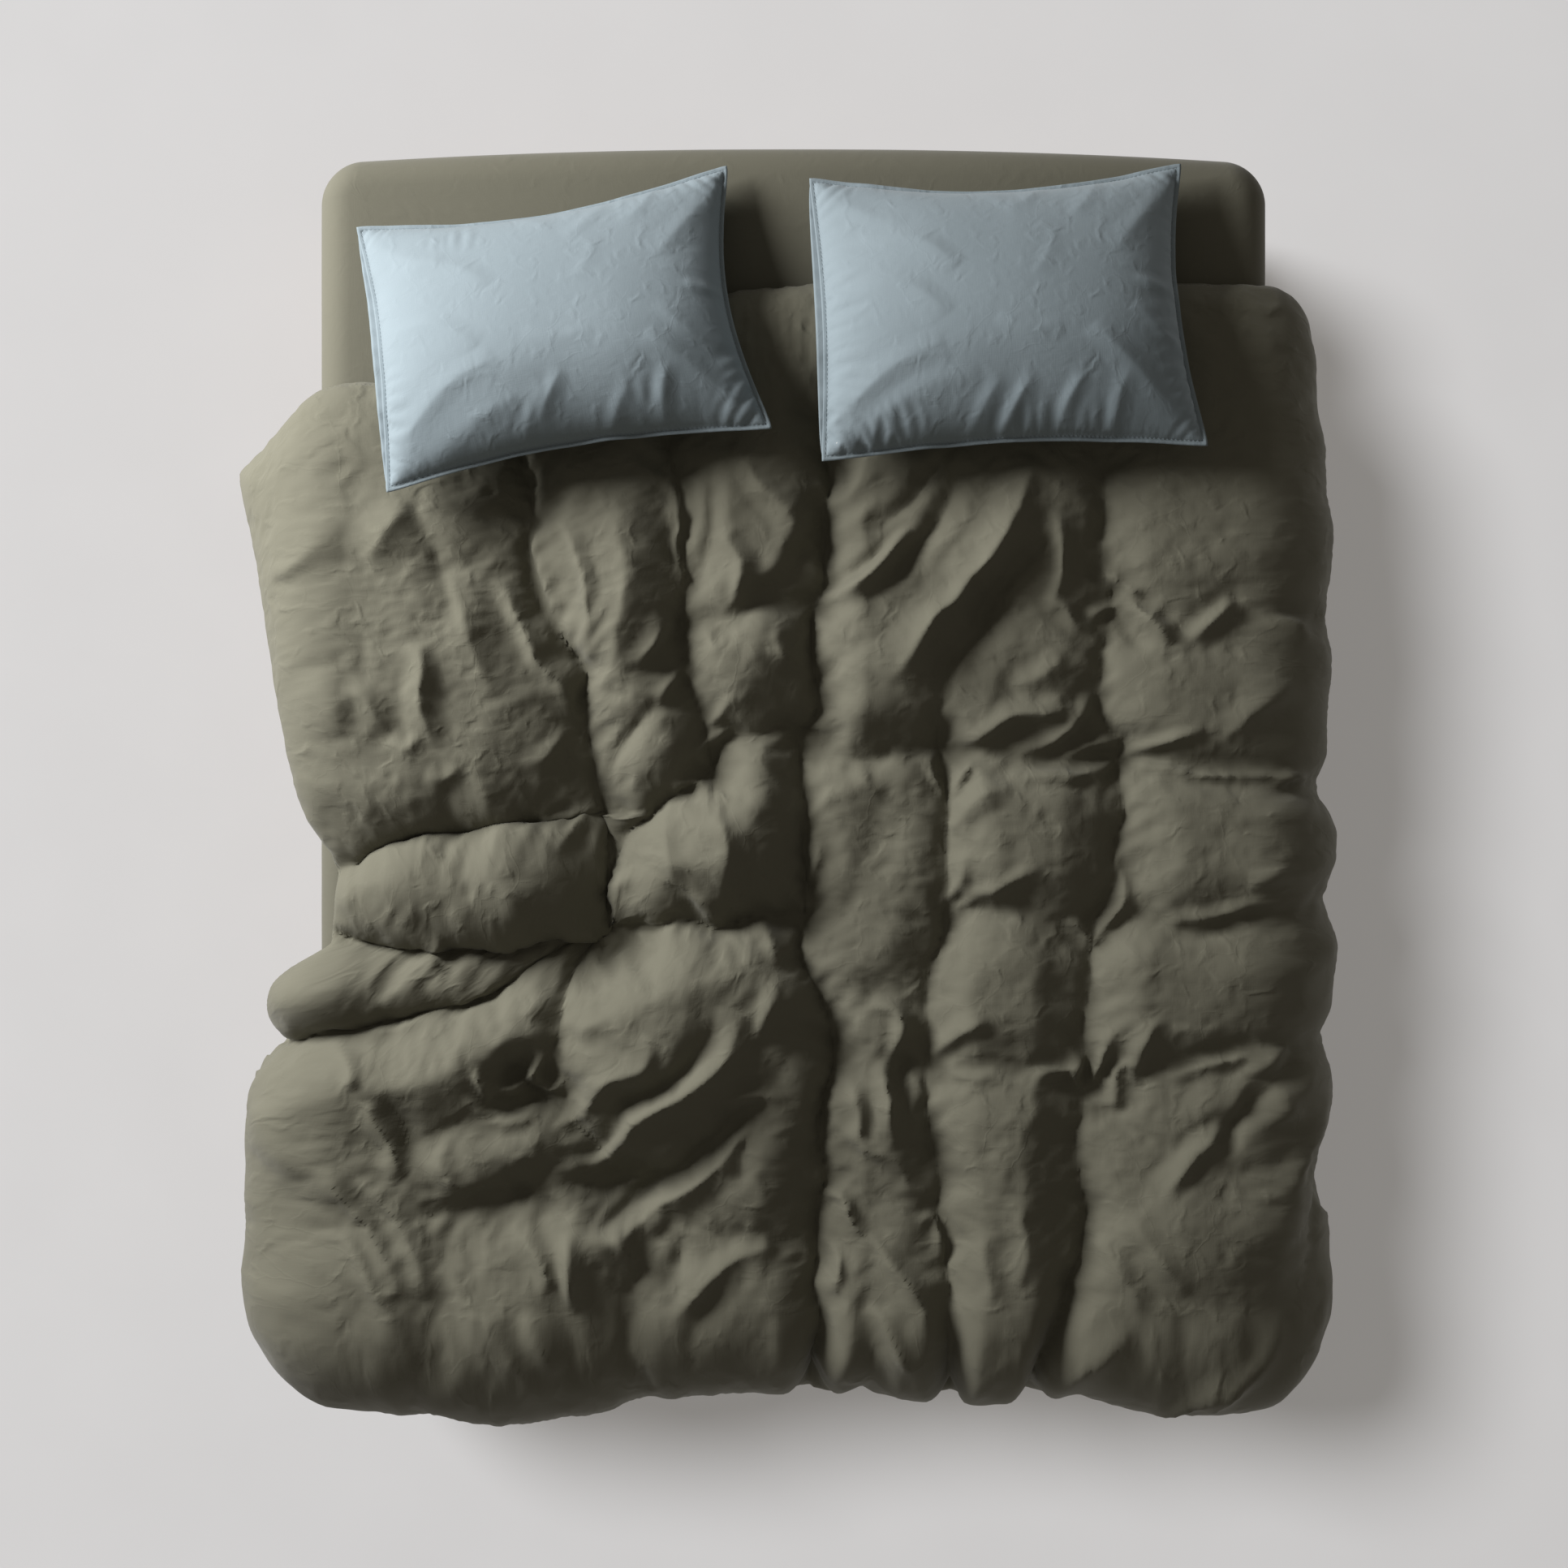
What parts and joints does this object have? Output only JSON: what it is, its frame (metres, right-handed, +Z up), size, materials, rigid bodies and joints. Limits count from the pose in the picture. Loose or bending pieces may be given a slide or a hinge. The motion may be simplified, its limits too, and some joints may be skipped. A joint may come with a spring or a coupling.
{
  "type": "duvet on a bed",
  "caption": "Made-up double bed: a down duvet in a washed cotton cover draped over a mattress on a slatted base, with cased pillows.",
  "frame": {"origin": "on the floor under the centre leg, which stands at the middle of the bed", "axes": "+X to the right of someone who stands at the foot, +Y towards the head, +Z up"},
  "size_m": [1.8229, 2.096, 0.7492],
  "materials": {
    "olive_cotton": "matt washed cotton with a fine crinkle",
    "sheet_cotton": "matt smooth cotton",
    "blue_cotton": "matt washed cotton with a fine crinkle",
    "down_filling": "down in thin downproof cotton",
    "pillow_filling": "feather filling in thin cotton",
    "foam": "open foam",
    "ticking": "quilted knit",
    "elastic": "woven elastic in a cotton hem",
    "oak": "oiled oak, satin",
    "button": "polished resin"
  },
  "bodies": {
    "bed": {"side_rail_left": "oak", "side_rail_right": "oak", "foot_rail": "oak", "head_rail": "oak", "centre_beam": "oak", "leg_centre": "oak", "leg_foot_left": "oak", "leg_foot_right": "oak", "leg_head_left": "oak", "leg_head_right": "oak", "slat_1": "oak", "slat_2": "oak", "slat_3": "oak", "slat_4": "oak", "slat_5": "oak", "slat_6": "oak", "slat_7": "oak", "slat_8": "oak", "slat_9": "oak", "mattress_core": "foam", "mattress_comfort_layer": "foam", "mattress_ticking": "ticking", "mattress_base_panel": "ticking", "fitted_sheet": "sheet_cotton", "fitted_sheet_elastic": "elastic"},
    "duvet": {"duvet_cover_top": "olive_cotton", "duvet_cover_under": "olive_cotton", "down_channel_1": "down_filling", "down_channel_2": "down_filling", "down_channel_3": "down_filling", "down_channel_4": "down_filling", "down_channel_5": "down_filling", "down_channel_6": "down_filling", "down_channel_7": "down_filling", "down_channel_8": "down_filling", "down_channel_9": "down_filling"},
    "duvet_foot": {"duvet_cover_top_foot": "olive_cotton", "duvet_cover_under_foot": "olive_cotton", "down_channel_foot_1": "down_filling", "down_channel_foot_2": "down_filling", "down_channel_foot_3": "down_filling", "down_channel_foot_4": "down_filling", "down_channel_foot_5": "down_filling", "down_channel_foot_6": "down_filling", "down_channel_foot_7": "down_filling", "down_channel_foot_8": "down_filling", "down_channel_foot_9": "down_filling", "cover_button_1": "button", "cover_button_2": "button", "cover_button_3": "button", "cover_button_4": "button"},
    "pillow_left": {"left_pillow": "pillow_filling", "left_pillowcase": "blue_cotton", "left_pillowcase_flap": "blue_cotton"},
    "pillow_right": {"right_pillow": "pillow_filling", "right_pillowcase": "blue_cotton", "right_pillowcase_flap": "blue_cotton"}
  },
  "joints": [
    {"name": "duvet_lift", "type": "slide", "parent": "bed", "child": "duvet", "axis": [0, 0, 1], "range_m": [0, 0.35]},
    {"name": "duvet_foot_fold", "type": "hinge", "parent": "duvet", "child": "duvet_foot", "pos_m": [0, -0.94, 0.5492], "axis": [-1, 0, 0], "range_deg": [0, 60]},
    {"name": "left_pillow_lift", "type": "slide", "parent": "duvet", "child": "pillow_left", "axis": [0, 0, 1], "range_m": [0, 0.3]},
    {"name": "right_pillow_lift", "type": "slide", "parent": "duvet", "child": "pillow_right", "axis": [0, 0, 1], "range_m": [0, 0.3]}
  ]
}
